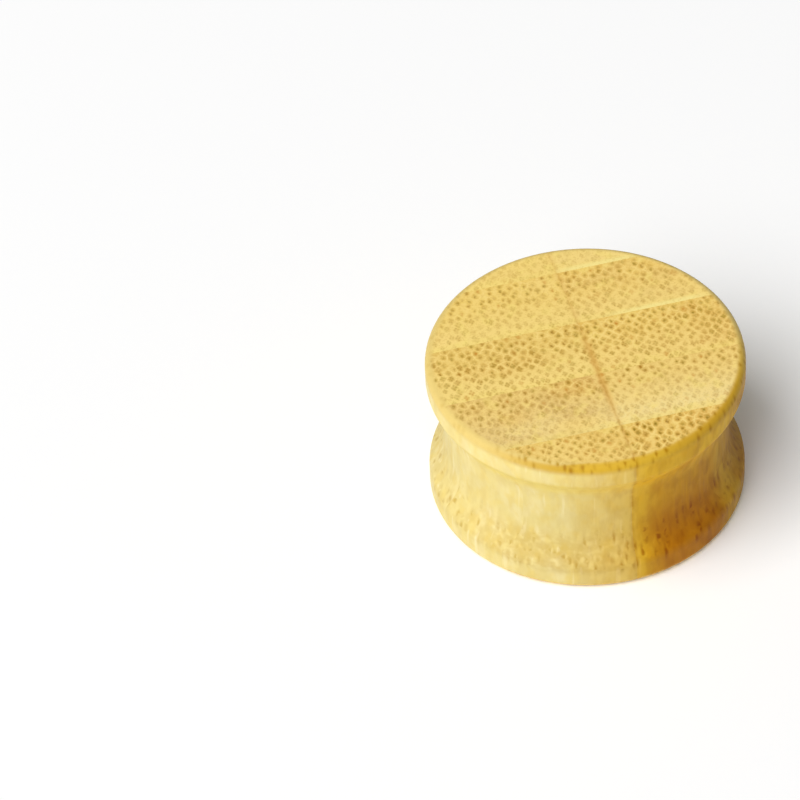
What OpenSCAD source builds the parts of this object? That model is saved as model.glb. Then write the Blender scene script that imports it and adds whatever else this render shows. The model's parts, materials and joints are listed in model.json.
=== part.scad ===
// A solid, double-flared ear plug turned from a block of laminated bamboo.
// The plug stands on one end face: its axis is +Z and the origin is the middle of that face.
// The block is two boards side by side, and each board is a stack of bamboo strips.
// Every strip is a solid of its own: the turned shape, cut to that strip's place in the block.

/* [Turned shape] */
// Diameter across the two flared ends
flare_d = 24.8; // [24:0.1:25.6]
// Diameter of the narrow stretch that the earlobe sits on
saddle_d = 22.2; // [21.6:0.1:23]
// Length from end face to end face
plug_len = 13.2; // [12.6:0.1:16]
// Rounding where an end face turns into the side
face_round = 0.65; // [0.3:0.05:0.8]
// Length of side at each end, rounding included, before the groove begins
lip_len = 2.2; // [1.8:0.05:2.4]
// Rounding where the side turns into the groove
groove_round = 1; // [0.4:0.1:1.5]
// Straight stretch in the middle of the groove
saddle_flat = 2.4; // [1:0.1:3]

/* [Bamboo strips] */
// Thickness of one strip, from front to back
strip_t = 5.89; // [5.4:0.01:6]
// Place of the joint between the left and the right board
board_joint_x = 0.43; // [-2:0.01:2]
// Place of the front glue line: the others lie behind it, a strip's thickness apart
front_glue_line_y = -8.25; // [-8.8:0.01:-8]
// Space that a glue line takes between two strips
glue_t = 0.02; // [0.01:0.01:0.1]

/* [Hidden] */
BOARDS = ["left", "right"];
ROWS = [1, 2, 3, 4, 5];

// Bamboo colour of each row, from the front row to the back one
ROW_COLOURS = ["#e3bd72", "#e8cb8c", "#e0b868", "#ead093", "#ecd49a"];

$fn = 96;

flare_r = flare_d / 2;
saddle_r = saddle_d / 2;
half_len = plug_len / 2;
half_flat = saddle_flat / 2;
spare = 1; // how far a cutting shape runs past what it cuts

// The groove's side is an arc that starts upright at the saddle and reaches the flare's diameter
// where the lip begins
groove_depth = flare_r - saddle_r;
groove_run = half_len - lip_len - half_flat;
groove_arc_r = (groove_depth ^ 2 + groove_run ^ 2) / (2 * groove_depth);
groove_arc_x = saddle_r + groove_arc_r;

// The rounding between side and groove touches the side and the groove's arc
round_x = flare_r - groove_round;
round_y = half_flat + sqrt((groove_arc_r + groove_round) ^ 2 - (groove_arc_x - round_x) ^ 2);

// Half of the turned outline on one side of the middle: x is the radius, y the height from the middle
module upper_half_outline() {
    difference() {
        union() {
            square([flare_r - face_round, half_len]);
            square([flare_r, half_len - face_round]);
            translate([flare_r - face_round, half_len - face_round])
                circle(r = face_round);
        }
        translate([saddle_r, -spare])
            square([groove_depth + spare, half_flat + spare]);
        translate([groove_arc_x, half_flat])
            circle(r = groove_arc_r);
        difference() {
            polygon([[round_x, round_y], [flare_r + spare, round_y], [groove_arc_x, half_flat]]);
            translate([round_x, round_y])
                circle(r = groove_round);
        }
    }
}

// The whole turned plug, standing on its lower face
module turned_plug() {
    translate([0, 0, half_len])
        rotate_extrude() {
            upper_half_outline();
            mirror([0, 1])
                upper_half_outline();
        }
}

// The place of one strip in the glued block: the outer rows and both boards reach past the plug
module strip_place(board, row) {
    reach = flare_r + spare;
    low_x = board == "left" ? -reach : board_joint_x + glue_t / 2;
    high_x = board == "left" ? board_joint_x - glue_t / 2 : reach;
    front_y = front_glue_line_y + (row - 2) * strip_t + glue_t / 2;
    back_y = front_glue_line_y + (row - 1) * strip_t - glue_t / 2;
    low_y = row == ROWS[0] ? -reach : front_y;
    high_y = row == len(ROWS) ? reach : back_y;
    translate([low_x, low_y, -spare])
        cube([high_x - low_x, high_y - low_y, plug_len + 2 * spare]);
}

// One bamboo strip, as the turning leaves it
module bamboo_strip(board, row) {
    color(ROW_COLOURS[row - 1])
        intersection() {
            turned_plug();
            strip_place(board, row);
        }
}

for (board = BOARDS)
    for (row = ROWS)
        bamboo_strip(board, row);
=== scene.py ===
import json
import math
from collections import namedtuple

import bmesh
import bpy
import numpy as np
from mathutils import Matrix, Vector


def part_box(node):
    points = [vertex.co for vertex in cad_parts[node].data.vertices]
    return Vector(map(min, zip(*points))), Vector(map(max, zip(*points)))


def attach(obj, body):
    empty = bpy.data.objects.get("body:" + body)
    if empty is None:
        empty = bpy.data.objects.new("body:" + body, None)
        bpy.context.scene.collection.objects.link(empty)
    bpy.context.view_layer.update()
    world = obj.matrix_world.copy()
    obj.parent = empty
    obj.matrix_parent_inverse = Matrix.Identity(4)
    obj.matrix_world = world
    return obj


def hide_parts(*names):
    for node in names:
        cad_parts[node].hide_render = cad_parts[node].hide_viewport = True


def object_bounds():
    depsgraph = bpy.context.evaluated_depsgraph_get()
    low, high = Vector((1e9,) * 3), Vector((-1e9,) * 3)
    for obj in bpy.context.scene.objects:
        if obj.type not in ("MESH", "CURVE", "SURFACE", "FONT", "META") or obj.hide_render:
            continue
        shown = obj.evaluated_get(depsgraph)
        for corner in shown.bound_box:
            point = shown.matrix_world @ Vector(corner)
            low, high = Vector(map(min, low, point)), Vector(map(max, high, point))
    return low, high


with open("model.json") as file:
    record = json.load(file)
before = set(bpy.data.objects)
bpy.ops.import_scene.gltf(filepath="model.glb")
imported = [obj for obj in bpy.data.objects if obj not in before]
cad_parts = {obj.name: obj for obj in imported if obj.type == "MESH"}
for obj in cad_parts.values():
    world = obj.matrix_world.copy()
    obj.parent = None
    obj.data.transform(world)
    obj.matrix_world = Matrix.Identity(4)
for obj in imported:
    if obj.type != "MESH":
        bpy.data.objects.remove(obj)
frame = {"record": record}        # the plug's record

cad_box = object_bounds()

# The turned shape, in metres
MM = 0.001
FLARE_R = (cad_box[1].x - cad_box[0].x) / 2
PLUG_LEN = cad_box[1].z - cad_box[0].z
MIDDLE_Z = PLUG_LEN / 2
SADDLE = next(m for m in frame["record"]["mounts"] if m["name"] == "ear_saddle")["dims"]
SADDLE_R = SADDLE["r_mm"] * MM
LIP_LEN = (PLUG_LEN - SADDLE["length_mm"] * MM) / 2
FACE_ROUND = 0.65 * MM
GROOVE_ROUND = 1.0 * MM
SADDLE_FLAT = 2.4 * MM

# The joint between the two boards, and the glue lines between their rows, from front to back
ROWS = (1, 2, 3, 4, 5)
JOINT_X = (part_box("left_strip_3")[1].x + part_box("right_strip_3")[0].x) / 2
GLUE_Y = {row: (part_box(f"left_strip_{row}")[1].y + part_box(f"left_strip_{row + 1}")[0].y) / 2
          for row in ROWS[:-1]}
STRIP_T = GLUE_Y[2] - GLUE_Y[1]

# The photograph turns the rows of strips by this angle
STRIPS_TURN = math.radians(15.5)

MESH_STEP = 0.085 * MM


# How each strip looks on an end face. The vascular bundles lie spacing apart, in mm. How strongly they
# show goes from outer to inner as the share of the strip's thickness, counted from its back, goes from
# fade_start to fade_end. Haze is how strongly brownish clouds show. A bright line runs along the strip's
# front between two x, in mm. Lean is how far the fibres lean in x and y for each mm that they rise.
# The ground's colour goes from ground_back to ground_front.
Look = namedtuple("Look", "spacing outer inner fade_start fade_end haze bright_line lean "
                  "ground_back ground_front")
LOOKS = {
    "left_strip_1": Look(0.60, 0.77, 0.56, 0.1, 0.7, 0.0, None, (0.012, 0.012),
                         (239, 200, 108), (243, 208, 119)),
    "left_strip_2": Look(0.65, 0.79, 0.42, 0.2, 0.7, 0.6, None, (-0.008, 0.015),
                         (234, 197, 115), (245, 218, 145)),
    "left_strip_3": Look(0.67, 0.92, 0.65, 0.6, 1.0, 0.2, None, (0.015, -0.010),
                         (236, 199, 106), (250, 221, 132)),
    "left_strip_4": Look(0.70, 0.81, 0.42, 0.1, 0.8, 0.1, None, (-0.012, 0.010),
                         (246, 211, 114), (250, 220, 131)),
    "left_strip_5": Look(0.68, 0.50, 0.35, 0.2, 0.9, 0.1, None, (0.010, 0.020),
                         (251, 218, 125), (251, 220, 127)),
    "right_strip_1": Look(0.66, 1.30, 1.06, 0.1, 0.8, 0.0, None, (-0.010, -0.012),
                          (238, 196, 102), (239, 198, 105)),
    "right_strip_2": Look(0.66, 0.98, 0.48, 0.1, 0.5, 0.1, None, (0.010, 0.010),
                          (241, 206, 119), (252, 229, 156)),
    "right_strip_3": Look(0.64, 0.94, 0.71, 0.3, 0.95, 0.1, None, (-0.015, -0.010),
                          (239, 200, 105), (247, 213, 125)),
    "right_strip_4": Look(0.68, 0.74, 0.48, 0.1, 0.9, 0.3, (4.5, 10.5), (0.008, -0.015),
                          (242, 203, 108), (248, 217, 130)),
    "right_strip_5": Look(0.70, 0.50, 0.30, 0.2, 0.9, 0.1, (1.5, 6.5), (-0.010, 0.010),
                          (249, 217, 122), (252, 223, 137)),
}

# Broad patches of the end faces that are warmer or paler than the rest: their middle, how far they reach
# to the sides and from front to back, in mm, and how strong they are
Patch = namedtuple("Patch", "x y wide deep share")
WARM_PATCHES = (
    Patch(-1.6, -3.2, 3.2, 1.5, 0.50),
    Patch(-7.2, -5.2, 1.8, 1.2, 0.35),
    Patch(-6.0, 0.4, 5.5, 1.7, 0.40),
    Patch(9.4, 2.5, 1.7, 1.0, 0.45),
    Patch(10.8, 0.0, 3.0, 4.5, 0.35),
    Patch(7.0, -9.4, 3.5, 1.8, 0.50),
)
PALE_PATCHES = (
    Patch(-2.6, -7.2, 3.2, 1.2, 0.75),
    Patch(-10.5, 4.6, 2.5, 1.3, 0.70),
    Patch(-1.2, 8.4, 1.8, 1.3, 0.50),
    Patch(-5.0, -10.2, 2.2, 2.0, 0.50),
    Patch(-5.0, -1.6, 5.0, 0.9, 0.45),
    Patch(2.8, 4.6, 2.8, 1.3, 0.45),
    Patch(3.0, -5.6, 3.2, 1.4, 0.40),
)


# What a strip's row, and the right board, add to the seeds of its random patterns
ROW_SEED = 7.3
RIGHT_SEED = 50


def side_of(name):
    """-1 for a strip of the left board, 1 for one of the right board."""
    return -1 if name.startswith("left") else 1


def row_of(name):
    return int(name[-1])


def seed_of(name):
    """Sets a strip's random patterns apart from its neighbours'."""
    return ROW_SEED * row_of(name) + (RIGHT_SEED if side_of(name) > 0 else 0)


# The turned outline, as radius and height, from the upper face's edge down to the lower face's edge

ARC_POINTS = 24
SAME_PLACE = 1e-9  # points closer together than this are one


def arc(centre, radius, start, end, points=ARC_POINTS):
    turn = np.linspace(start, end, points)
    return np.stack([centre[0] + radius * np.cos(turn), centre[1] + radius * np.sin(turn)], 1)


def turned_outline():
    depth = FLARE_R - SADDLE_R
    flat = SADDLE_FLAT / 2
    run = MIDDLE_Z - LIP_LEN - flat
    groove_r = (depth**2 + run**2) / (2 * depth)
    groove = (SADDLE_R + groove_r, flat)
    lip_x = FLARE_R - GROOVE_ROUND
    lip = (lip_x, flat + math.sqrt((groove_r + GROOVE_ROUND) ** 2 - (groove[0] - lip_x) ** 2))
    meet = math.atan2(groove[1] - lip[1], groove[0] - lip[0])
    edge = (FLARE_R - FACE_ROUND, MIDDLE_Z - FACE_ROUND)
    upper = np.concatenate([
        arc(edge, FACE_ROUND, math.pi / 2, 0),
        arc(lip, GROOVE_ROUND, 0, meet),
        arc(groove, groove_r, meet + math.pi, math.pi, 2 * ARC_POINTS),
        [[SADDLE_R, 0]],
    ])
    lower = upper[-2::-1] * (1, -1)
    outline = np.concatenate([upper, lower]) + (0, MIDDLE_Z)
    is_new = np.append(True, np.hypot(*np.diff(outline, axis=0).T) > SAME_PLACE)
    return outline[is_new]


def evenly(line, step):
    """The same line with points about a step apart, and how far along it each of them lies."""
    along = np.append(0, np.cumsum(np.hypot(*np.diff(line, axis=0).T)))
    places = np.linspace(0, along[-1], round(along[-1] / step) + 1)
    return np.stack([np.interp(places, along, line[:, k]) for k in range(2)], 1), places


OUTLINE, OUTLINE_ALONG = evenly(turned_outline(), MESH_STEP)


# Meshes: each strip is one closed solid, and its neighbours meet it along the glue lines.
# A strip is laid out as if it were on the right, and a left one is then mirrored.

GLUED_SCALE = 0.25  # the glued faces don't show, so they take little of the map
MAP_MARGIN = 0.3 * MM


def quads(ids):
    """The four-sided faces between the points of a grid."""
    return np.stack([ids[:-1, :-1], ids[1:, :-1], ids[1:, 1:], ids[:-1, 1:]], -1).reshape(-1, 4)


def side_grid(joint, low_y, high_y):
    """The turned side's points: where each ring starts and ends between the glued faces, as angles."""
    radius, height = OUTLINE.T
    start = -np.arccos(joint / radius) if low_y is None else np.arcsin(low_y / radius)
    end = np.arccos(joint / radius) if high_y is None else np.arcsin(high_y / radius)
    count = round((end - start).max() * FLARE_R / MESH_STEP) + 1
    turn = start[:, None] + (end - start)[:, None] * np.linspace(0, 1, count)
    points = np.stack([radius[:, None] * np.cos(turn), radius[:, None] * np.sin(turn),
                       np.repeat(height[:, None], count, 1)], -1)
    return turn, points


def face_grid(rim, joint, glued_y):
    """An end face's points: lines from the joint, or for an outer row from its glue line, to the rim."""
    if glued_y is None:
        start = np.stack([np.full(len(rim), joint), rim[:, 1], rim[:, 2]], -1)
    else:
        start = np.stack([rim[:, 0], np.full(len(rim), glued_y), rim[:, 2]], -1)
    longest = np.linalg.norm(rim - start, axis=1).max()
    share = np.linspace(0, 1, round(longest / MESH_STEP) + 1)[:-1, None]
    return start[:, None] + (rim - start)[:, None] * share


def relief_directions(turn, upper, lower):
    """Which way the relief moves each point: square to the turned surface."""
    slope = np.gradient(OUTLINE, OUTLINE_ALONG, axis=0)
    out = np.stack([-slope[:, 1], slope[:, 0]], 1)
    out /= np.hypot(*out.T)[:, None]
    side = np.stack([out[:, :1] * np.cos(turn), out[:, :1] * np.sin(turn),
                     np.repeat(out[:, 1:], turn.shape[1], 1)], -1)
    up = np.tile([0, 0, 1.0], (upper[..., 0].size, 1))
    down = np.tile([0, 0, -1.0], (lower[..., 0].size, 1))
    return np.concatenate([side.reshape(-1, 3), up, down])


def map_islands(islands):
    """Lays the flat pictures of a strip's faces out beside each other, in a square from 0 to 1."""
    placed, corner = [], np.array([MAP_MARGIN, MAP_MARGIN])
    top = 0.0
    for faces, flat in islands:
        used = np.concatenate([np.ravel(f) for f in faces])
        low, high = flat[used].min(0), flat[used].max(0)
        if len(faces) == 1 and corner[1] < top:
            corner = np.array([MAP_MARGIN, top + MAP_MARGIN])
        placed.append(flat[used] - low + corner)
        corner = corner + (high[0] - low[0] + MAP_MARGIN, 0)
        if len(faces) > 1:
            top = max(top, high[1] - low[1] + MAP_MARGIN)
    spots = np.concatenate(placed)
    return spots / (spots.max() + MAP_MARGIN)


def glued_faces(side_ids, upper_ids, lower_ids, low_y, high_y):
    """The faces at the board joint and at the strip's glue lines, each as a ring of points' numbers."""
    last = len(side_ids) - 1

    def face_at(k):
        return np.concatenate([upper_ids[k], side_ids[1:last, k], lower_ids[k][::-1]])

    if low_y is None:
        glue_line = [upper_ids[:, 0], side_ids[1:last, -1], lower_ids[::-1, 0]]
        return [face_at(0), np.concatenate(glue_line)]
    if high_y is None:
        glue_line = [upper_ids[::-1, 0], side_ids[1:last, 0], lower_ids[:, 0]]
        return [face_at(-1), np.concatenate(glue_line)]
    joint_face = np.concatenate([upper_ids[:, 0], lower_ids[::-1, 0]])
    return [face_at(0), face_at(-1), joint_face]


def strip_mesh(name):
    side, row = side_of(name), row_of(name)
    joint = side * JOINT_X

    # An inner row is glued at its front and its back, an outer row at one of them only
    low_y, high_y = GLUE_Y.get(row - 1), GLUE_Y.get(row)
    only_glued_y = high_y if low_y is None else low_y if high_y is None else None
    turn, rings = side_grid(joint, low_y, high_y)
    last = len(rings) - 1
    upper, lower = (face_grid(rings[k], joint, only_glued_y) for k in (0, last))
    grids = (rings, upper, lower)
    places = np.concatenate([grid.reshape(-1, 3) for grid in grids])
    push = relief_directions(turn, upper, lower)

    # Numbers of the points: the end faces share their rims with the side
    ends = np.cumsum([grid[..., 0].size for grid in grids])
    side_ids = np.arange(ends[0]).reshape(turn.shape)
    upper_ids = np.hstack([np.arange(ends[0], ends[1]).reshape(len(upper), -1), side_ids[0][:, None]])
    lower_ids = np.hstack([np.arange(ends[1], ends[2]).reshape(len(lower), -1), side_ids[last][:, None]])

    # The map that spreads the strip flat: side, end faces turned a quarter, and the glued faces small
    unrolled = np.zeros((len(places), 2))
    heights = np.repeat(OUTLINE_ALONG[:, None], turn.shape[1], 1)
    unrolled[:ends[0]] = np.stack([turn * FLARE_R, heights], -1).reshape(-1, 2)
    plan = places[:, [1, 0]]
    upright = np.stack([places[:, 0] + places[:, 1], places[:, 2]], -1) * GLUED_SCALE
    islands = [(quads(side_ids), unrolled), (quads(upper_ids), plan), (quads(lower_ids), plan)]
    islands += [([face], upright) for face in glued_faces(side_ids, upper_ids, lower_ids, low_y, high_y)]

    mirror = (side, 1, 1)
    mesh = bpy.data.meshes.new(name)
    mesh.from_pydata((places * mirror).tolist(), [], [f.tolist() for faces, _ in islands for f in faces])
    mesh.attributes.new("push", "FLOAT_VECTOR", "POINT").data.foreach_set("vector", (push * mirror).ravel())
    mesh.uv_layers.new(name="OFBake").data.foreach_set("uv", map_islands(islands).ravel())
    close_mesh(mesh)
    return mesh


def close_mesh(mesh):
    """Joins points that fall together, turns all faces outward and keeps the glued faces' edges sharp."""
    work = bmesh.new()
    work.from_mesh(mesh)
    bmesh.ops.remove_doubles(work, verts=work.verts, dist=MESH_STEP / 100)
    bmesh.ops.recalc_face_normals(work, faces=work.faces)
    for face in work.faces:
        face.smooth = len(face.verts) <= 4
    for edge in work.edges:
        edge.smooth = all(face.smooth for face in edge.link_faces)
    work.to_mesh(mesh)
    work.free()


# Node trees, for the relief and for the materials

class Graph:
    """Adds nodes to a tree. Each call takes numbers, colours or sockets and returns a result's socket."""

    def __init__(self, tree):
        self.tree = tree

    def add(self, kind, **settings):
        node = self.tree.nodes.new(kind)
        for key, value in settings.items():
            setattr(node, key, value)
        return node

    def put(self, socket, value):
        if isinstance(value, bpy.types.NodeSocket):
            self.tree.links.new(value, socket)
        else:
            socket.default_value = value

    def math(self, operation, *values):
        node = self.add("ShaderNodeMath", operation=operation)
        for socket, value in zip(node.inputs, values):
            self.put(socket, value)
        return node.outputs[0]

    def chain(self, operation, values):
        total = values[0]
        for value in values[1:]:
            total = self.math(operation, total, value)
        return total

    def plus(self, *values):
        return self.chain("ADD", values)

    def times(self, *values):
        return self.chain("MULTIPLY", values)

    def minus(self, a, b):
        return self.math("SUBTRACT", a, b)

    def over(self, a, b):
        return self.math("DIVIDE", a, b)

    def least(self, *values):
        return self.chain("MINIMUM", values)

    def size(self, value):
        """A number without its sign."""
        return self.math("ABSOLUTE", value)

    def length(self, a, b):
        return self.math("SQRT", self.plus(self.times(a, a), self.times(b, b)))

    def ramp(self, value, low, high, start=0.0, end=1.0):
        """A smooth step from start, at low, to end, at high. Low may be the larger one."""
        if low > high:
            low, high, start, end = high, low, end, start
        node = self.add("ShaderNodeMapRange", interpolation_type="SMOOTHSTEP")
        for socket, number in zip(node.inputs, (value, low, high, start, end)):
            self.put(socket, number)
        return node.outputs[0]

    def between(self, share, a, b):
        """A number that goes from a to b as share goes from 0 to 1."""
        return self.plus(self.times(share, b - a), a)

    def parts(self, vector):
        node = self.add("ShaderNodeSeparateXYZ")
        self.put(node.inputs[0], vector)
        return node.outputs

    def vector(self, x, y, z=0.0):
        node = self.add("ShaderNodeCombineXYZ")
        for socket, value in zip(node.inputs, (x, y, z)):
            self.put(socket, value)
        return node.outputs[0]

    def grains(self, place, pattern, seed=0.0):
        """Noise from 0 to 1 about its middle of 0.5. A place starts with its x, y and z, in mm."""
        x, y, z = (self.times(v, grains) for v, grains in zip(place, pattern[:3]))
        node = self.add("ShaderNodeTexNoise", noise_dimensions="3D")
        self.put(node.inputs["Vector"], self.vector(x, y, self.plus(z, seed + pattern.own_seed)))
        self.put(node.inputs["Scale"], 1.0)
        self.put(node.inputs["Detail"], pattern.detail)
        return node.outputs[0]

    def voronoi(self, feature, a, b, scatter):
        node = self.add("ShaderNodeTexVoronoi", voronoi_dimensions="2D", feature=feature)
        self.put(node.inputs["Vector"], self.vector(a, b))
        self.put(node.inputs["Scale"], 1.0)
        self.put(node.inputs["Randomness"], scatter)
        return node.outputs

    def cells(self, a, b, scatter):
        """Cells of a square lattice with scattered middles. Returns the middle and three random numbers."""
        outputs = self.voronoi("F1", a, b, scatter)
        return self.parts(outputs["Position"])[:2], self.parts(outputs["Color"])

    def cell_edge(self, a, b, scatter):
        """How far a place is from the edge between two cells of the same lattice."""
        return self.voronoi("DISTANCE_TO_EDGE", a, b, scatter)["Distance"]

    def mix(self, share, a, b, blend="MIX"):
        """Colour a where share is 0 and colour b where it is 1."""
        node = self.add("ShaderNodeMix", data_type="RGBA", blend_type=blend)
        for socket, value in ((node.inputs[0], share), (node.inputs[6], a), (node.inputs[7], b)):
            self.put(socket, value)
        return node.outputs[2]

    def paint(self, share, ground, rgb):
        """Lays a colour over the ground."""
        return self.mix(share, ground, colour(rgb))

    def darken(self, share, ground, rgb):
        """Multiplies the ground by a colour."""
        return self.mix(share, ground, colour(rgb), "MULTIPLY")


# Fields: numbers that depend on the place alone, shared by the relief and the materials. Lengths in mm.

ROOT_2 = math.sqrt(2)
SCATTER = 0.62  # how far bundles stray from their places in the lattice
WANDER = 0.5  # how strongly the fibres sway sideways along the plug
RAGGED = 0.20  # how ragged the bundles' outlines are
SEEDS_APART = 31  # from what moves a fibre in x to what moves it in y
BUNDLE_SIZES = (0.74, 1.10)  # the smallest and the largest bundle
LONGER = 1.25  # bundles are longer through a strip's thickness, from its back to its front
NARROWER = 1.12  # and narrower across it
LOBE_OUT = 0.24  # how far the four lobes of a bundle lie from its middle, in spacings
FACE_R = (FLARE_R - FACE_ROUND) / MM  # where an end face meets its rounded edge

# Noise patterns: how many grains lie in a mm along x, y and z, what the pattern adds to its strip's seed,
# and how fine its detail is. The two for joints are read at one x all over.
Pattern = namedtuple("Pattern", "x y z own_seed detail")
SWAY = Pattern(0.12, 0.12, 0.16, 0, 1.0)
RAGGED_EDGES = Pattern(3.0, 3.0, 0.3, 0, 1.0)
SHOWN_LOBES = Pattern(4.5, 4.5, 0.3, 0, 1.0)
UNEVEN_BUNDLES = Pattern(0.35, 0.35, 0.0, 0, 2.0)
CLUMPS = Pattern(0.8, 0.8, 0.0, 21, 1.0)
BROKEN_NET = Pattern(0.9, 0.9, 0.1, 17, 1.0)
HAZE_CLOUDS = Pattern(0.30, 0.45, 0.05, 5, 2.0)
BRIGHT_CLOUDS = Pattern(0.9, 0.9, 0.05, 11, 2.0)
FACE_GRAIN = Pattern(6.0, 6.0, 0.5, 0, 2.0)
FACE_JOINT_BREAKS = Pattern(1.7, 1.7, 0.5, 0, 2.0)
SIDE_JOINT_BREAKS = Pattern(3.1, 0.3, 1.2, 0, 2.0)
CREAM_CLOUDS = Pattern(0.6, 0.6, 0.35, 0, 2.0)
YELLOW_CLOUDS = Pattern(1.0, 1.0, 0.7, 9, 2.0)
# Pale streaks of the side: painted highlights on light fibres
HIGHLIGHT_STREAKS = Pattern(2.2, 2.2, 0.20, 3, 1.0)
DARK_FIBRES = Pattern(1.2, 1.2, 0.5, 6, 2.0)
BLOTCHES = Pattern(0.7, 0.7, 0.6, 19, 1.0)
DASH_BREAKS = Pattern(1.2, 1.2, 2.0, 13, 1.0)
ROUGH_SPOTS = Pattern(2.5, 2.5, 0.8, 0, 2.0)
FINE_FIBRES = Pattern(9.0, 9.0, 0.9, 0, 3.0)

Fields = namedtuple("Fields", "x y z radius depth a b bundle core dot vein lots strength edge joint_gap "
                    "back_share front_gap")


def fibre_numbers(g, place, look, seed):
    """Two numbers that stay the same along a fibre. Fibres run along the plug, a little askew and never
    quite straight."""
    rise = g.minus(place[2], PLUG_LEN / MM)
    numbers = []
    for start, lean, sway_seed in zip(place, look.lean, (seed, seed + SEEDS_APART)):
        sway = g.times(g.minus(g.grains(place, SWAY, sway_seed), 0.5), WANDER)
        ragged = g.times(g.minus(g.grains(place, RAGGED_EDGES, sway_seed), 0.5), RAGGED)
        numbers.append(g.plus(start, sway, ragged, g.times(rise, lean), seed))
    return numbers


def bundle_strength(g, middle, share, lots, look, seed):
    """How clearly a bundle shows, by where its middle is, which is also given as a share of the strip's
    thickness, counted from its back."""
    uneven = g.times(g.minus(g.grains(middle, UNEVEN_BUNDLES, seed), 0.5), 0.5)
    faded = g.plus(share, uneven, g.times(g.minus(lots[0], 0.5), 0.25))
    clumped = g.ramp(g.grains(middle, CLUMPS, seed), 0.35, 0.65, 0.88, 1.14)
    return g.times(g.ramp(faded, look.fade_start, look.fade_end, look.outer, look.inner),
                   g.ramp(share, -0.01, 0.02), g.between(lots[0], 0.78, 1.10), clumped)


def strip_fields(g, place, name):
    look, seed, side, row = LOOKS[name], seed_of(name), side_of(name), row_of(name)
    x, y, z = (g.times(v, 1 / MM) for v in g.parts(place))
    radius = g.length(x, y)
    depth = g.minus(MIDDLE_Z / MM, g.size(g.minus(z, MIDDLE_Z / MM)))

    # Bundles sit in a diamond lattice. Distances from a bundle's middle are in spacings.
    fibre = fibre_numbers(g, (x, y, z), look, seed)
    grain = 1 / (ROOT_2 * look.spacing)
    a, b = g.times(g.plus(*fibre), grain), g.times(g.minus(fibre[1], fibre[0]), grain)
    middle, lots = g.cells(a, b, SCATTER)
    da, db = g.minus(a, middle[0]), g.minus(b, middle[1])
    dx, dy = g.times(g.minus(da, db), 1 / ROOT_2), g.times(g.plus(da, db), 1 / ROOT_2)
    size = g.between(lots[1], *BUNDLE_SIZES)
    across, along = g.over(g.times(dx, NARROWER), size), g.over(g.times(dy, 1 / LONGER), size)
    wide, deep = g.size(across), g.size(along)
    apart = g.plus(g.times(g.plus(wide, deep), 0.25), g.times(g.length(across, along), 0.75))
    bundle = g.ramp(apart, 0.56, 0.20)
    dot = g.ramp(g.length(across, g.plus(along, 0.05)), 0.32, 0.06)
    vein = g.ramp(apart, 0.42, 0.62)

    # On a strip's inner side a bundle is looser, and shows as up to four lobes
    lobe = g.least(g.length(g.minus(wide, LOBE_OUT), deep), g.length(wide, g.minus(deep, LOBE_OUT)))
    shown = g.ramp(g.grains((x, y, z), SHOWN_LOBES, seed), 0.38, 0.58)
    lobes = g.times(g.ramp(lobe, 0.22, 0.03), g.between(shown, 0.35, 1.0))

    # Where in the strip the place is
    joint_gap = g.times(g.minus(x, JOINT_X / MM), side)
    back_y = (GLUE_Y[row] if row in GLUE_Y else GLUE_Y[row - 1] + STRIP_T) / MM
    back_gap = g.minus(back_y, y)
    front_gap = g.minus(y, back_y - STRIP_T / MM)
    edge = g.least(joint_gap, back_gap, front_gap)
    back_share = g.times(back_gap, MM / STRIP_T)

    # How clearly its bundle shows, which depends on where the bundle's middle is
    middle_x, middle_y = (g.minus(v, g.times(d, look.spacing)) for v, d in ((x, dx), (y, dy)))
    middle_share = g.times(g.minus(back_y, middle_y), MM / STRIP_T)
    strength = bundle_strength(g, (middle_x, middle_y, 0.0), middle_share, lots, look, seed)
    loose = g.ramp(g.plus(middle_share, g.times(g.minus(lots[1], 0.5), 0.5)), 0.25, 0.70, 0.0, 0.75)
    core = g.plus(g.times(dot, g.minus(1.0, loose)), g.times(lobes, loose))
    return Fields(x, y, z, radius, depth, a, b, bundle, core, dot, vein, lots, strength, edge, joint_gap,
                  back_share, front_gap)


def facing(g, f, degrees):
    """1 on the side of the plug that faces this way in the photograph's frame, down to -1 behind it."""
    angle = math.radians(degrees) - STRIPS_TURN
    along = g.plus(g.times(f.x, math.cos(angle)), g.times(f.y, math.sin(angle)))
    return g.over(along, f.radius)


# Relief in the mesh: hard bundles stand proud, their pores are pits, and a glue line is a fine groove.
# The surface never stands out from the turned outline.

BUNDLE_RISE = 0.006 * MM
PORE_DEPTH = 0.010 * MM
GLUE_DEPTH = 0.003 * MM
GROUND_SINK = 0.004 * MM


def relief_height(g, f):
    """How far a point moves out. The bundles and pores end just short of the strip's glued edges."""
    inside = g.ramp(f.edge, 0.05, 0.25)
    shown = g.least(f.strength, 1.0)
    bundles = g.minus(g.times(f.bundle, BUNDLE_RISE), g.times(f.core, PORE_DEPTH))
    glue = g.ramp(f.joint_gap, 0.0, 0.15, -GLUE_DEPTH, 0.0)
    return g.plus(g.times(bundles, inside, shown), glue, -BUNDLE_RISE - GROUND_SINK)


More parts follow.
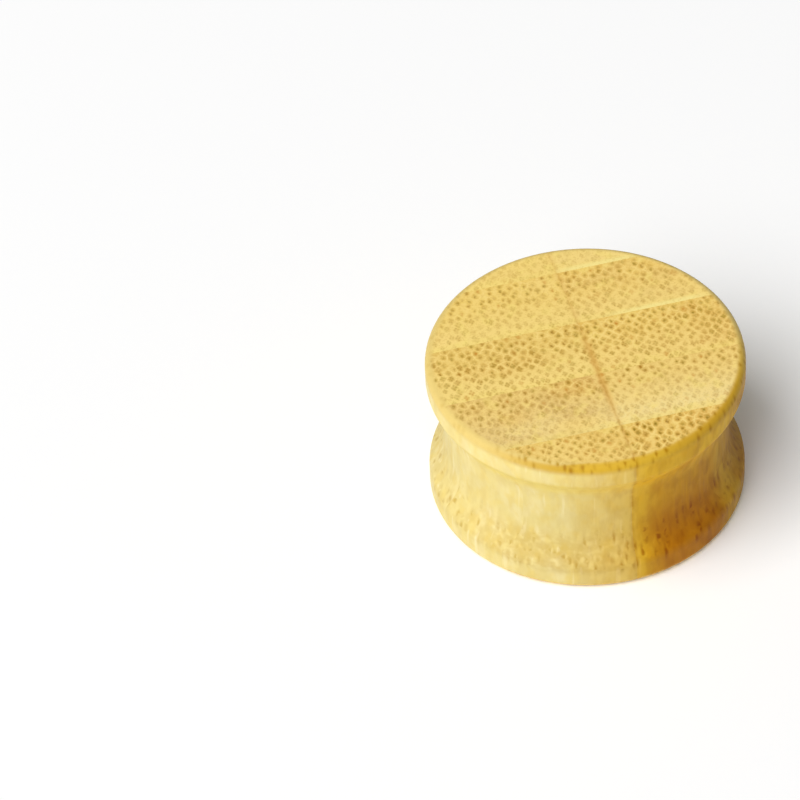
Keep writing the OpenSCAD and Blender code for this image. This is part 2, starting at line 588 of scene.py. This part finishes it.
def carve_relief(piece, name):
    tree = bpy.data.node_groups.new(name + "_relief", "GeometryNodeTree")
    tree.interface.new_socket("Geometry", in_out="INPUT", socket_type="NodeSocketGeometry")
    tree.interface.new_socket("Geometry", in_out="OUTPUT", socket_type="NodeSocketGeometry")
    g = Graph(tree)
    source, result = g.add("NodeGroupInput"), g.add("NodeGroupOutput")
    push = g.add("GeometryNodeInputNamedAttribute", data_type="FLOAT_VECTOR")
    push.inputs["Name"].default_value = "push"
    place = g.add("GeometryNodeInputPosition").outputs[0]
    offset = g.add("ShaderNodeVectorMath", operation="SCALE")
    g.put(offset.inputs[0], push.outputs[0])
    g.put(offset.inputs["Scale"], relief_height(g, strip_fields(g, place, name)))
    move = g.add("GeometryNodeSetPosition")
    g.put(move.inputs["Geometry"], source.outputs[0])
    g.put(move.inputs["Offset"], offset.outputs[0])
    g.put(result.inputs[0], move.outputs[0])
    piece.modifiers.new("relief", "NODES").node_group = tree
    shaped = piece.evaluated_get(bpy.context.evaluated_depsgraph_get())
    mesh = bpy.data.meshes.new_from_object(shaped)
    mesh.attributes.remove(mesh.attributes["push"])
    piece.modifiers.clear()
    piece.data = mesh


# Materials. Colours are as the eye reads them, from 0 to 255.

OLIVE_BUNDLE = (196, 162, 66)
TAN_BUNDLE = (206, 161, 70)
OLIVE_CORE = (158, 127, 36)
BROWN_CORE = (168, 121, 36)
ORANGE_CORE = (206, 134, 44)
VEIN = (254, 222, 134)
HAZE = (214, 176, 108)
BRIGHT = (254, 230, 128)
BRIGHT_LINE = (255, 236, 150)
WARM = (222, 170, 82)
JOINT = (224, 171, 82)
BROWN_JOINT = (196, 150, 66)
SIDE = (235, 215, 140)
CREAM = (246, 232, 177)
YELLOW = (236, 209, 115)
UNDER_LIP = (249, 223, 112)
PALE_RIM = (225, 198, 118)
GOLD_RIM = (219, 175, 45)
DEEP_GOLD_RIM = (206, 163, 45)
FLOOR = (250, 250, 250)

# These darken what they lie on
LOW_SIDE = (244, 245, 248)
# The golden and brown stains are partly the wood's own stain and partly painted shade on the side away from
# the lamp
GOLDEN_STAIN_AND_SHADE = (252, 220, 90)
BROWN_STAIN_AND_SHADE = (217, 179, 115)
# Painted shade only: it greys and darkens the side far to the right, away from the lamp
GREY_PAINTED_SHADE = (221, 203, 184)
PALE_DASH = (215, 192, 118)
DARK_DASH = (196, 160, 75)
RIM_DOT = (212, 192, 112)
SIDE_JOINT = (214, 188, 130)

# How strongly a bundle, its core, the veins round it and a bright line are painted where they show fully
BUNDLE_PAINT = 0.53
CORE_PAINT = 0.79
VEIN_PAINT = 0.45
LINE_PAINT = 0.9


def colour(rgb):
    """A colour as the renderer counts it, in proportion to its light."""
    shares = [v / 255 for v in rgb]
    return tuple(v / 12.92 if v <= 0.04045 else ((v + 0.055) / 1.055) ** 2.4 for v in shares) + (1.0,)


def blot(g, f, spot, paint):
    """How strongly a spot of a bundle is painted: some bundles are darker than others."""
    return g.least(g.times(spot, g.times(f.strength, paint), g.between(f.lots[0], 0.62, 1.04)), 1.0)


def patches(g, f, table):
    """How strongly the broad patches of a table show: the strongest one counts."""
    shares = []
    for patch in table:
        across = g.times(g.minus(f.x, patch.x), 1 / patch.wide)
        along = g.times(g.minus(f.y, patch.y), 1 / patch.deep)
        shares.append(g.ramp(g.length(across, along), 1.0, 0.2, 0.0, patch.share))
    return g.chain("MAXIMUM", shares)


def face_ground(g, f, name):
    """The ground tissue of an end face, with its slow changes of colour."""
    look, seed = LOOKS[name], seed_of(name)
    ground = g.mix(g.ramp(f.back_share, 0.1, 0.95), colour(look.ground_back), colour(look.ground_front))
    cloud = g.ramp(g.grains(f, HAZE_CLOUDS, seed), 0.45, 0.70, 0.0, look.haze)
    light = g.ramp(g.grains(f, BRIGHT_CLOUDS, seed), 0.52, 0.72, 0.0, 0.45)
    ground = g.paint(cloud, ground, HAZE)
    ground = g.paint(light, ground, BRIGHT)
    ground = g.paint(patches(g, f, PALE_PATCHES), ground, VEIN)
    return g.paint(patches(g, f, WARM_PATCHES), ground, WARM)


def pale_veins(g, f, seed):
    """How strongly the pale tissue between the bundles shows: softly all round them, with a broken net of
    thin lines halfway to their neighbours."""
    broken = g.ramp(g.grains(f, BROKEN_NET, seed), 0.38, 0.62, 0.0, 0.5)
    net = g.times(g.ramp(g.cell_edge(f.a, f.b, SCATTER), 0.17, 0.03), broken)
    return g.times(g.plus(g.times(f.vein, VEIN_PAINT), net), g.least(f.strength, 1.0))


def bright_line(g, f, start, end):
    """How strongly the bright line along a strip's front shows. It fades out past both of its ends."""
    shown = g.times(g.ramp(f.x, start - 3, start + 1), g.ramp(f.x, end + 1, end - 1))
    return g.times(g.ramp(f.front_gap, 0.60, 0.20), shown, LINE_PAINT)


def face_joint(g, f, painted):
    """The joint between the boards: a soft orange line near the middle, and a thin brown one in front."""
    soft = g.times(g.ramp(f.joint_gap, 0.50, 0.0), g.ramp(g.size(g.plus(f.y, 2.0)), 6.0, 1.5, 0.15, 0.6))
    broken = g.ramp(g.grains((1.0, f.y, f.z), FACE_JOINT_BREAKS), 0.35, 0.65, 0.4, 1.0)
    thin = g.times(g.ramp(f.joint_gap, 0.20, 0.0), g.ramp(f.y, -2.0, -5.0, 0.25, 0.55), broken)
    return g.paint(thin, g.paint(soft, painted, JOINT), BROWN_JOINT)


def face_colour(g, f, name):
    """An end face: the strip's ground, the bundles with their dark cores, and pale veins between them."""
    look = LOOKS[name]
    ground = face_ground(g, f, name)
    if row_of(name) > 1:
        ground = g.paint(g.ramp(f.front_gap, 0.9, 0.2, 0.0, 0.35), ground, BRIGHT)
    painted = g.paint(pale_veins(g, f, seed_of(name)), ground, VEIN)
    hue = f.lots[2]
    bundle = g.mix(hue, colour(OLIVE_BUNDLE), colour(TAN_BUNDLE))
    core = g.mix(hue, colour(OLIVE_CORE), colour(BROWN_CORE))
    core = g.paint(g.ramp(hue, 0.92, 0.97), core, ORANGE_CORE)
    painted = g.mix(blot(g, f, f.bundle, BUNDLE_PAINT), painted, bundle)
    painted = g.mix(blot(g, f, f.core, CORE_PAINT), painted, core)
    if look.bright_line:
        painted = g.paint(bright_line(g, f, *look.bright_line), painted, BRIGHT_LINE)
    grain = g.grains(f, FACE_GRAIN)
    painted = g.paint(g.ramp(grain, 0.50, 0.68, 0.0, 0.32), painted, VEIN)
    painted = g.paint(g.ramp(grain, 0.50, 0.32, 0.0, 0.26), painted, TAN_BUNDLE)
    return face_joint(g, f, painted)


def side_ground(g, f, seed):
    """The wood of the turned side: pale, with soft clouds and a few paler streaks, which are painted
    highlights on light fibres.
    """
    cream = g.ramp(g.grains(f, CREAM_CLOUDS, seed), 0.42, 0.70, 0.0, 0.4)
    yellow = g.ramp(g.grains(f, YELLOW_CLOUDS, seed), 0.44, 0.70, 0.0, 0.5)
    highlight_streak = g.ramp(g.grains(f, HIGHLIGHT_STREAKS, seed), 0.62, 0.74, 0.0, 0.5)
    ground = g.paint(cream, colour(SIDE), CREAM)
    ground = g.paint(yellow, ground, YELLOW)
    # Painted highlights: short pale streaks on light fibres
    ground = g.paint(highlight_streak, ground, CREAM)
    ground = g.darken(g.ramp(f.z, 9.5, 6.5), ground, LOW_SIDE)

    # A yellow band runs under the upper lip, and is strongest in front. It is partly painted light that
    # warms the shade under the lip.
    band = g.times(g.ramp(f.z, 8.8, 10.0), g.ramp(f.z, 11.4, 10.8),
                   g.ramp(facing(g, f, -95), -0.5, 0.3, 0.2, 0.6))
    return g.paint(band, ground, UNDER_LIP)


def stain_and_shade_ground(g, f, seed, stain_and_shade, shade):
    """The side's wood under its stain and painted shade: golden at first, brown low in front, and greyer far
    to the right.
    """
    golden = g.times(stain_and_shade, g.ramp(facing(g, f, 5), 0.70, 1.0, 1.0, 0.93))
    brown = g.times(g.ramp(f.z, 12.5, 3.0), g.ramp(facing(g, f, -47), 0.90, 0.99))
    ground = g.darken(golden, side_ground(g, f, seed), GOLDEN_STAIN_AND_SHADE)
    ground = g.darken(brown, ground, BROWN_STAIN_AND_SHADE)
    # Painted shade greys the side far to the right
    ground = g.darken(g.times(shade, stain_and_shade), ground, GREY_PAINTED_SHADE)
    fibres = g.ramp(g.grains(f, DARK_FIBRES, seed), 0.60, 0.34, 0.0, g.between(stain_and_shade, 0.10, 0.28))
    ground = g.darken(fibres, ground, DARK_DASH)
    blotch = g.ramp(g.grains(f, BLOTCHES, seed), 0.45, 0.62, 0.0, 0.35)
    return g.darken(g.times(blotch, g.ramp(facing(g, f, -30), 0.75, 0.98)), ground, PALE_DASH)


def side_colour(g, f, name):
    """The turned side, stained in front on the right, where the stain is partly painted shade. The bundles
    show as short dashes where it slopes towards the lower flare, and a little higher up in the stain."""
    seed = seed_of(name)
    from_left = facing(g, f, 5)
    start = g.ramp(from_left, -0.05, 0.30) if side_of(name) > 0 else g.ramp(from_left, -0.35, 0.25, 0.0, 0.6)
    # How strongly the side is stained: partly a real stain, partly painted shade away from the lamp
    stain_and_shade = g.times(start, g.ramp(facing(g, f, -60), -0.35, 0.50))
    # Painted shade: strongest where the side faces far to the right, away from the lamp
    shade = g.ramp(facing(g, f, 8), 0.74, 1.0)
    ground = stain_and_shade_ground(g, f, seed, stain_and_shade, shade)

    # A dash is short, also where the side runs along the fibres
    broken = g.grains(f, DASH_BREAKS, seed)
    top = g.between(stain_and_shade, 4.4, 5.0)
    sloping = g.times(g.ramp(f.z, 1.2, 2.2), g.ramp(g.minus(f.z, top), 1.2, -1.2))
    there = g.ramp(g.plus(broken, g.times(stain_and_shade, 0.02)), 0.40, 0.56)
    spot = g.times(g.plus(g.times(f.dot, 0.5), g.times(f.bundle, 0.5)), there)
    dash = g.times(spot, sloping, g.ramp(f.lots[0], 0.0, 0.9, 0.3, 0.9), g.between(shade, 1.0, 0.8),
                   g.between(stain_and_shade, 0.8, 1.05))

    # The ground between the dashes is a little darker too
    in_front = g.ramp(facing(g, f, -85), 0.45, 0.95, 0.2, 0.85)
    busy = g.times(sloping, g.ramp(broken, 0.70, 0.35, 0.1, 0.6), in_front, g.between(stain_and_shade, 1.0, 0.3))
    ground = g.darken(busy, ground, PALE_DASH)
    return g.mix(dash, ground, g.mix(stain_and_shade, colour(PALE_DASH), colour(DARK_DASH)), "MULTIPLY")


def rim_colour(g, f):
    """The rounded edge of the upper face, with blurred dots. It is golden in front, where the gold starts
    further out and is deeper on the left, and browner on the right, where the brown is painted shade."""
    on_left = g.ramp(facing(g, f, 0), 0.05, -0.22)
    gold = g.mix(on_left, colour(GOLD_RIM), colour(DEEP_GOLD_RIM))
    outer = g.ramp(g.minus(f.radius, g.times(on_left, 0.35)), FACE_R - 0.10, FACE_R + 0.15)
    golden = g.times(g.ramp(facing(g, f, -57), 0.22, 0.80, 0.0, 0.95), outer)
    ground = g.mix(golden, colour(PALE_RIM), gold)
    # Painted shade: the rim turns browner on the right, away from the lamp
    ground = g.darken(g.ramp(facing(g, f, -35), 0.85, 1.0, 0.0, 0.25), ground, BROWN_STAIN_AND_SHADE)
    spot = g.plus(f.dot, g.times(f.bundle, 0.6))
    dots = g.times(spot, g.ramp(f.depth, 1.0, 0.5), g.ramp(f.lots[0], 0.0, 0.8, 0.1, 0.6),
                   g.ramp(facing(g, f, -60), 0.35, 0.65, 0.25, 1.0))
    return g.darken(dots, ground, RIM_DOT)


def bamboo_material(name):
    material = bpy.data.materials.new(name + "_bamboo")
    material.use_nodes = True
    g = Graph(material.node_tree)
    shader = g.tree.nodes["Principled BSDF"]
    f = strip_fields(g, g.add("ShaderNodeTexCoord").outputs["Object"], name)
    on_side = g.ramp(f.depth, 0.15, 0.65)
    on_rim = g.times(g.ramp(f.radius, FACE_R - 0.15, FACE_R + 0.35), g.ramp(f.depth, 1.05, 0.35),
                     g.ramp(f.z, 6.0, 8.0))
    painted = g.mix(on_side, face_colour(g, f, name), side_colour(g, f, name))
    painted = g.mix(on_rim, painted, rim_colour(g, f))

    # On the side the board joint is a thin line, darker in some places than in others
    broken = g.ramp(g.grains((1.0, f.y, f.z), SIDE_JOINT_BREAKS), 0.35, 0.65, 0.05, 0.5)
    line = g.times(g.ramp(f.joint_gap, 0.30, 0.0), on_side, broken)
    g.put(shader.inputs["Base Color"], g.darken(line, painted, SIDE_JOINT))
    finish_surface(g, f, shader)
    return material


def finish_surface(g, f, shader):
    """Satin wax: smoother on the hard bundles, with fine fibres in the bump."""
    mottle = g.grains(f, ROUGH_SPOTS)
    rough = g.minus(g.between(mottle, 0.42, 0.62), g.times(f.bundle, f.strength, 0.06))
    g.put(shader.inputs["Roughness"], rough)
    shader.inputs["Specular IOR Level"].default_value = 0.12
    bump = g.add("ShaderNodeBump")
    bump.inputs["Strength"].default_value = 0.35
    bump.inputs["Distance"].default_value = 0.03 * MM
    g.put(bump.inputs["Height"], g.grains(f, FINE_FIBRES))
    g.put(shader.inputs["Normal"], bump.outputs[0])


def add_object(name, data):
    piece = bpy.data.objects.new(name, data)
    bpy.context.scene.collection.objects.link(piece)
    return piece


for name in LOOKS:
    piece = add_object(name + "_bamboo", strip_mesh(name))
    carve_relief(piece, name)
    piece.data.materials.clear()
    piece.data.materials.append(bamboo_material(name))
    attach(piece, "root")
    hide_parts(name)


# The photograph's view: its frame and the plug's middle and size there, in pixels, and the camera's place

FRAME_PX = 800
FLARE_R_PX = 158.83
MIDDLE_PX = (586.1, 415.05)
DISTANCE = 32.05 * FLARE_R
ELEVATION = math.radians(44.64)
ROLL = -0.0177
SENSOR_MM = 36.0
NEAREST, FARTHEST = 0.01, 10  # what the camera sees, in metres

# The light that comes from all round, and the floor's own glow
FILL_LIGHT = 0.15
FLOOR_GLOW = 0.08


def photo_place(right, away, up=0.0):
    """A place or direction given as the camera sees it from above: to the right, away from it, and up."""
    return Matrix.Rotation(-STRIPS_TURN, 3, "Z") @ Vector((right, away, up))


def photo_camera():
    data = bpy.data.cameras.new("camera")
    data.sensor_width = SENSOR_MM
    focal_px = FLARE_R_PX * DISTANCE / FLARE_R
    data.lens = focal_px / FRAME_PX * SENSOR_MM
    data.clip_start, data.clip_end = NEAREST, FARTHEST
    camera = add_object("camera", data)
    right = photo_place(1, 0)
    up = photo_place(0, math.sin(ELEVATION), math.cos(ELEVATION))
    back = photo_place(0, -math.cos(ELEVATION), math.sin(ELEVATION))
    rolled_right = math.cos(ROLL) * right + math.sin(ROLL) * up
    rolled_up = math.cos(ROLL) * up - math.sin(ROLL) * right
    straight = Matrix((rolled_right, rolled_up, back)).transposed()
    off_middle = Vector((MIDDLE_PX[0] - FRAME_PX / 2, FRAME_PX / 2 - MIDDLE_PX[1], -focal_px))
    pan = off_middle.rotation_difference(Vector((0, 0, -1))).to_matrix()
    middle = Vector((0, 0, MIDDLE_Z))
    camera.matrix_world = Matrix.Translation(middle + back * DISTANCE) @ (straight @ pan).to_4x4()
    bpy.context.scene.camera = camera


def pale_floor(reach=3.0):
    mesh = bpy.data.meshes.new("floor")
    mesh.from_pydata([(-reach, -reach, 0), (reach, -reach, 0), (reach, reach, 0), (-reach, reach, 0)], [],
                     [(0, 1, 2, 3)])
    material = bpy.data.materials.new("floor")
    material.use_nodes = True
    shader = material.node_tree.nodes["Principled BSDF"]
    shader.inputs["Base Color"].default_value = colour(FLOOR)
    shader.inputs["Roughness"].default_value = 0.9
    shader.inputs["Specular IOR Level"].default_value = 0.0
    shader.inputs["Emission Color"].default_value = colour(FLOOR)
    shader.inputs["Emission Strength"].default_value = FLOOR_GLOW
    mesh.materials.append(material)
    add_object("floor", mesh)


def soft_lamp(name, place, size, power):
    """A square lamp that faces the plug."""
    data = bpy.data.lights.new(name, "AREA")
    data.size = size
    data.energy = power
    lamp = add_object(name, data)
    lamp.location = photo_place(*place)
    aim = Vector((0, 0, MIDDLE_Z)) - lamp.location
    lamp.rotation_euler = aim.to_track_quat("-Z", "Y").to_euler()


def studio():
    soft_lamp("key_lamp", place=(-0.88, -0.83, 1.55), size=1.8, power=49.0)
    world = bpy.data.worlds.new("studio")
    world.use_nodes = True
    background = world.node_tree.nodes["Background"]
    background.inputs["Color"].default_value = (1, 1, 1, 1)
    background.inputs["Strength"].default_value = FILL_LIGHT
    bpy.context.scene.world = world
    bpy.context.scene.view_settings.view_transform = "Standard"


photo_camera()
pale_floor()
studio()
